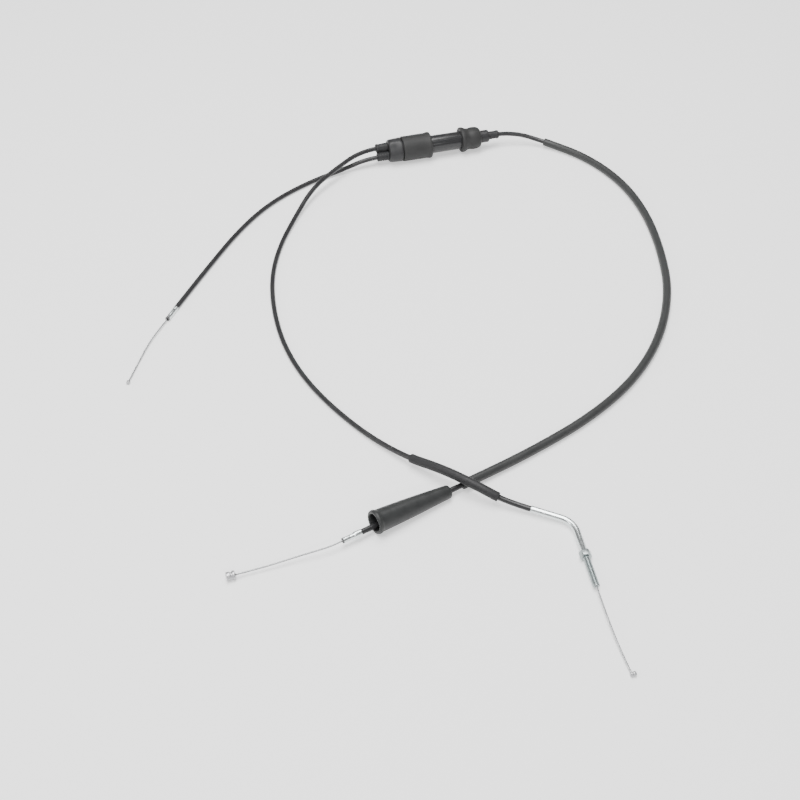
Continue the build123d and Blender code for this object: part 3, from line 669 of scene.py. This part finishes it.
# ---------------------------------------------------------------- boot
# A long tapered rubber boot that slides on the cable and covers the adjuster at the grip.
# Its mouth rolls outwards into a thick round rim, which rests on the table.
BOOT_SMALL_END = (-153.11, -521.04, 6.1)
BOOT_AXIS = (-0.95466, -0.29004, 0.06703)
boot_rubber = skin("boot_rubber", (0.015, 0.016, 0.016), (0.030, 0.031, 0.031), (0.36, 0.50),
                   patch=80, grain=1300, depth=0.04, specular=0.28)

boot = turned("boot_moulding", [
    (0, 2.75), (0, 4.9), (0.3, 5.6), (1.0, 6.0), (2.5, 6.2), (8, 6.5), (15, 6.95), (24, 7.55),
    (33, 8.15), (42, 8.65), (51, 9.1), (60, 9.5), (67, 9.78), (70.6, 9.92), (71.8, 10.1),
    (72.6, 10.5), (73.6, 10.73), (74.7, 10.65), (75.6, 10.25), (76, 9.6), (76, 8.6),
    (75.6, 7.95), (74.6, 7.55), (72, 7.4), (64, 7.0), (46, 6.2), (30, 5.4), (16, 4.75),
    (14, 4.4), (14, 2.75),
], around=96)
put(boot, BOOT_SMALL_END, BOOT_AXIS)
boot.data.materials.append(boot_rubber)
smooth(boot, 60)
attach(boot, "throttle_boot")
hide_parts("throttle_boot")

# ---------------------------------------------------------------- throttle drum
# The cast zinc drum on the end of the throttle wire, which hooks into the twist grip.
# It has a turned groove round it and a small cone where the wire is soldered in.
THROTTLE_DRUM_AT = (-354, -560.5, 3.9)
THROTTLE_WIRE_WAY = (-0.998903, -0.046824, 0)

drum = turned("throttle_drum", [
    (0, 0.7), (0, 3.3), (-0.15, 3.65), (-0.5, 3.8), (-3.0, 3.8), (-3.25, 3.7), (-3.45, 3.1),
    (-3.7, 3.0), (-4.6, 3.0), (-4.85, 3.1), (-5.05, 3.7), (-5.3, 3.8), (-6.9, 3.8),
    (-7.25, 3.65), (-7.4, 3.3), (-7.4, 1.7), (-7.7, 1.3), (-8.3, 0.9), (-8.3, 0.7),
], around=64)
put(drum, THROTTLE_DRUM_AT, THROTTLE_WIRE_WAY)
drum.data.materials.append(cast_zinc)
smooth(drum, 40)
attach(drum, "throttle_wire")
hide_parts("throttle_nipple")

# ---------------------------------------------------------------- oil pump end
# A plain plated tube is crimped on the pump cable's conduit in two places, and a very
# small drum is cast on the wire for the pump's lever.
PUMP_TIP = (-346, -216, 2.6)
TO_PUMP = (-0.596524, -0.802595, 0)
PUMP_DRUM_AT = (-396.8, -299.6, 1.7)
PUMP_WIRE_WAY = (-0.466006, -0.884782, 0)

stop_tube = turned("pump_stop_tube", [
    (-20, 2.0), (-20, 2.15), (-19.85, 2.3), (-16.2, 2.3), (-15.8, 2.2), (-15.2, 2.12),
    (-14.6, 2.2), (-14.2, 2.3), (-6.2, 2.3), (-5.8, 2.2), (-5.2, 2.12), (-4.6, 2.2),
    (-4.2, 2.3), (-1.6, 2.3), (-0.4, 2.3), (-0.1, 2.15), (0, 1.9), (0, 1.2),
    (-2, 1.2), (-2, 2.0),
], around=56)
# the stop tube's tip is painted near black, as painted shade for the mouth of its bore
paint_tip_shade(stop_tube, 1.6)
put(stop_tube, PUMP_TIP, TO_PUMP)
smooth(stop_tube, 35)
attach(stop_tube, "cable_set")
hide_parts("pump_ferrule")

pump_drum = turned("pump_drum", [
    (0, 0.7), (0, 1.3), (-0.12, 1.5), (-0.35, 1.6), (-2.9, 1.6), (-3.2, 1.5), (-3.4, 1.25),
    (-3.9, 0.9), (-3.9, 0.7),
], around=40)
put(pump_drum, PUMP_DRUM_AT, PUMP_WIRE_WAY)
pump_drum.data.materials.append(cast_zinc)
smooth(pump_drum, 40)
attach(pump_drum, "pump_wire")
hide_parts("pump_nipple")

# ---------------------------------------------------------------- elbow
# A zinc-plated steel tube, bent cold to about sixty degrees. It turns on the conduit, and
# its rolled edge and the bead inside the hex hold it in place.
ENTRY = Vector((-93, -560, 6)) * MM
CORNER = Vector((-63.2, -582.8, 4.5)) * MM
NOZZLE_TIP = Vector((-71.5, -653.8, 4.5)) * MM
BEND_R = 20 * MM
BEND_STEPS = 26
PIPE_R, LIP = 3.0, 1.9

# the bead inside the hex and the pipe's end past it: mm back from the nozzle's tip, radius
BEAD_AND_END = (
    (36.3, PIPE_R), (35.6, 3.3), (34.9, 3.6), (34.3, 3.3), (33.6, PIPE_R), (33.1, PIPE_R),
)

entry_way = (CORNER - ENTRY).normalized()
exit_way = (NOZZLE_TIP - CORNER).normalized()
turn = entry_way.angle(exit_way)
tangent = BEND_R * math.tan(turn / 2)
bend_axis = entry_way.cross(exit_way).normalized()
bend_start = CORNER - entry_way * tangent
bend_middle = bend_start + bend_axis.cross(entry_way) * BEND_R

pipe = turned("elbow_pipe", [
    (LIP, 1.1), (1.4, 1.1), (1.4, 2.05), (0.1, 2.05), (0.1, 2.7), (0.25, 2.92), (0.6, PIPE_R),
    (1.3, PIPE_R), (LIP, PIPE_R),
], around=64, ends="open")
put(pipe, ENTRY / MM, entry_way)
for part in (*pipe.data.polygons, *pipe.data.edges):
    part.select = False
for vertex in pipe.data.vertices:
    vertex.select = (vertex.co - ENTRY).dot(entry_way) > (LIP - 0.1) * MM
bpy.ops.object.mode_set(mode="EDIT")
straight = (bend_start - ENTRY).length - LIP * MM
bpy.ops.mesh.extrude_edges_move(TRANSFORM_OT_translate={"value": entry_way * straight})
bpy.ops.mesh.spin(steps=BEND_STEPS, angle=-turn, center=bend_middle, axis=bend_axis)
here, radius = CORNER + exit_way * tangent, PIPE_R
for before_tip, next_r in BEAD_AND_END:
    there = NOZZLE_TIP - exit_way * before_tip * MM
    bpy.ops.mesh.extrude_edges_move(TRANSFORM_OT_translate={"value": there - here})
    bpy.ops.transform.resize(value=(next_r / radius,) * 3, center_override=there)
    here, radius = there, next_r
bpy.ops.mesh.bridge_edge_loops()
bpy.ops.mesh.select_all(action="SELECT")
bpy.ops.mesh.normals_make_consistent(inside=False)
bpy.ops.object.mode_set(mode="OBJECT")
pipe.data.materials.append(zinc_plate)
smooth(pipe, 40)
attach(pipe, "elbow")
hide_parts("elbow_tube")

# ---------------------------------------------------------------- screwed nozzle
# A steel hex, 9 mm across flats and chamfered on both faces, with a long M6 thread
# turned on the same bar. The carburettor wire comes out of its bore.
HEX_FROM, HEX_TO = -37.5, -31
HEX_CORNER_R = 9 / math.sqrt(3)
PITCH = 1.0
ROOT_R, CREST_R = 2.38, 2.93
THREAD_TURNS, STEPS_PER_TURN = 33, 30
RAW_THREAD_FROM, THREAD_FROM, THREAD_TO = -32.2, -31.05, -0.8
thread_steel = skin("thread_steel", (0.30, 0.335, 0.335), (0.45, 0.49, 0.49), (0.28, 0.42),
                    metallic=1, patch=340, grain=2200, depth=0.02)

hexagon = turned("hex", [(HEX_FROM, HEX_CORNER_R), (HEX_TO, HEX_CORNER_R)], around=6,
                 ends="filled")
hexagon.data.transform(Matrix.Rotation(math.radians(30), 4, "Z"))
lathe = turned("hex_chamfers", [
    (HEX_FROM, 3.05), (HEX_FROM, 4.25), (-37.1, 4.72), (-36.8, 5.3), (-31.7, 5.3),
    (-31.4, 4.72), (HEX_TO, 4.25), (HEX_TO, 0.85), (-33.0, 0.85), (-33.0, 3.05),
    (-33.9, 3.05), (-33.9, 3.65), (-35.6, 3.65), (-35.6, 3.05),
])
bpy.ops.object.select_all(action="DESELECT")
bpy.context.view_layer.objects.active = hexagon
hexagon.select_set(True)
cut = hexagon.modifiers.new("chamfers", "BOOLEAN")
cut.operation = "INTERSECT"
cut.solver = "EXACT"
cut.object = lathe
bpy.ops.object.modifier_apply(modifier=cut.name)
bpy.data.objects.remove(lathe)
soften(hexagon, 0.12, segments=2, degrees=30)

bpy.ops.object.select_all(action="DESELECT")
bpy.ops.mesh.primitive_circle_add(vertices=8, radius=MM, fill_type="NOTHING",
                                  location=(0, 0, 0))
thread = bpy.context.object
thread.name = thread.data.name = "m6_thread"
form = bmesh.new()
profile = [(ROOT_R, 0), (ROOT_R, 0.12), (CREST_R, 0.44), (CREST_R, 0.56), (ROOT_R, 0.88),
           (ROOT_R, PITCH)]
corners = [form.verts.new((r * MM, 0, z * MM)) for r, z in profile]
for corner, other in zip(corners, corners[1:]):
    form.edges.new((corner, other))
form.to_mesh(thread.data)
form.free()
lead = thread.modifiers.new("lead", "SCREW")
lead.axis = "Z"
lead.screw_offset = PITCH * MM
lead.iterations = THREAD_TURNS
lead.steps = lead.render_steps = STEPS_PER_TURN
lead.use_merge_vertices = True
lead.merge_threshold = 0.00001
lead.use_smooth_shade = False
bpy.ops.object.modifier_apply(modifier=lead.name)
thread.data.transform(Matrix.Translation((0, 0, RAW_THREAD_FROM * MM)))
bpy.ops.object.mode_set(mode="EDIT")
for height, side in ((THREAD_FROM, "clear_inner"), (THREAD_TO, "clear_outer")):
    bpy.ops.mesh.select_all(action="SELECT")
    bpy.ops.mesh.bisect(plane_co=(0, 0, height * MM), plane_no=(0, 0, 1), use_fill=True,
                        **{side: True})
bpy.ops.mesh.select_all(action="SELECT")
bpy.ops.mesh.remove_doubles(threshold=0.000002)
bpy.ops.mesh.normals_make_consistent(inside=False)
bpy.ops.object.mode_set(mode="OBJECT")

point = turned("nozzle_point", [
    (-1.2, 0.85), (-1.2, 2.35), (-0.5, 2.35), (-0.2, 2.3), (0, 2.1), (0, 0.85),
], around=48)
for piece in (hexagon, thread, point):
    put(piece, NOZZLE_TIP / MM, exit_way)
bpy.ops.object.select_all(action="DESELECT")
for piece in (thread, point, hexagon):
    piece.select_set(True)
bpy.context.view_layer.objects.active = hexagon
bpy.ops.object.join()
hexagon.name = hexagon.data.name = "nozzle_screw"
hexagon.data.materials.clear()
hexagon.data.materials.append(thread_steel)
smooth(hexagon, 25)
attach(hexagon, "elbow_fitting")
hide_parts("elbow_fitting")

# ---------------------------------------------------------------- carburettor barrel
# A small cast barrel across the end of the carburettor wire, a little to one side of it,
# which drops into the slide.
BARREL_AT = (-76.6, -740.014, 2.1)
ACROSS_WIRE = (0.999907, -0.013635, 0)

barrel = turned("carb_barrel", [
    (-2.3, 1.6), (-2.2, 1.85), (-1.95, 2.0), (-0.3, 2.0), (-0.15, 1.93), (0.15, 1.93),
    (0.3, 2.0), (1.95, 2.0), (2.2, 1.85), (2.3, 1.6),
], around=48, ends="filled")
put(barrel, BARREL_AT, ACROSS_WIRE)
barrel.data.materials.append(cast_zinc)
smooth(barrel, 40)
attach(barrel, "carb_wire")
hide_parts("carb_nipple")

# ---------------------------------------------------------------- lengths as made
# The wires are cut to these lengths, in metres, each with the drum or barrel that is cast on it.
# The loop only looks each wire and its line up; nothing here uses the lengths or the pieces.
for name, length, pieces in (
    ("throttle_wire", 0.1247, [drum]),
    ("carb_wire", 0.1115, [barrel]),
    ("pump_wire", 0.123, [pump_drum]),
):
    wire, line = wires[name]

# ---------------------------------------------------------------- table and light
# A plain white table under one wide soft lamp. A narrow strip lamp in front and a softer
# one at the left draw long highlights on the round black parts.
TABLE_SIZE = 12
TABLE_GREY, TABLE_GLOW, ROOM_GLOW = 0.7, 0.7, 0.35
LAMPS_AIM_AT = Vector((-0.16, -0.39, 0))

bpy.ops.object.select_all(action="DESELECT")
bpy.ops.mesh.primitive_plane_add(size=TABLE_SIZE, location=(0, 0, 0))
table = bpy.context.object
table.name = "table"
paper = bpy.data.materials.new("table_white")
paper.use_nodes = True
white = paper.node_tree.nodes["Principled BSDF"]
white.inputs["Base Color"].default_value = (TABLE_GREY, TABLE_GREY, TABLE_GREY, 1)
white.inputs["Roughness"].default_value = 0.9
white.inputs["Specular IOR Level"].default_value = 0.1
white.inputs["Emission Color"].default_value = (1, 1, 1, 1)
white.inputs["Emission Strength"].default_value = TABLE_GLOW
table.data.materials.append(paper)

world = bpy.data.worlds.new("room")
world.use_nodes = True
room = world.node_tree.nodes["Background"]
room.inputs["Color"].default_value = (1, 1, 1, 1)
room.inputs["Strength"].default_value = ROOM_GLOW
bpy.context.scene.world = world

for name, place, size, watts in (
    ("lamp_above", (-0.3, -0.3, 2.1), (2.4, 1.0), 105),
    ("lamp_front", (-0.3, -3.3, 1.7), (2.4, 0.15), 30),
    ("lamp_left", (-2.3, -0.4, 1.3), (0.4, 1.6), 20),
):
    lamp = bpy.data.lights.new(name, "AREA")
    lamp.shape = "RECTANGLE"
    lamp.size, lamp.size_y = size
    lamp.energy = watts
    holder = bpy.data.objects.new(name, lamp)
    bpy.context.scene.collection.objects.link(holder)
    holder.location = place
    aim = LAMPS_AIM_AT - holder.location
    holder.rotation_euler = aim.to_track_quat("-Z", "Y").to_euler()

bpy.context.view_layer.update()
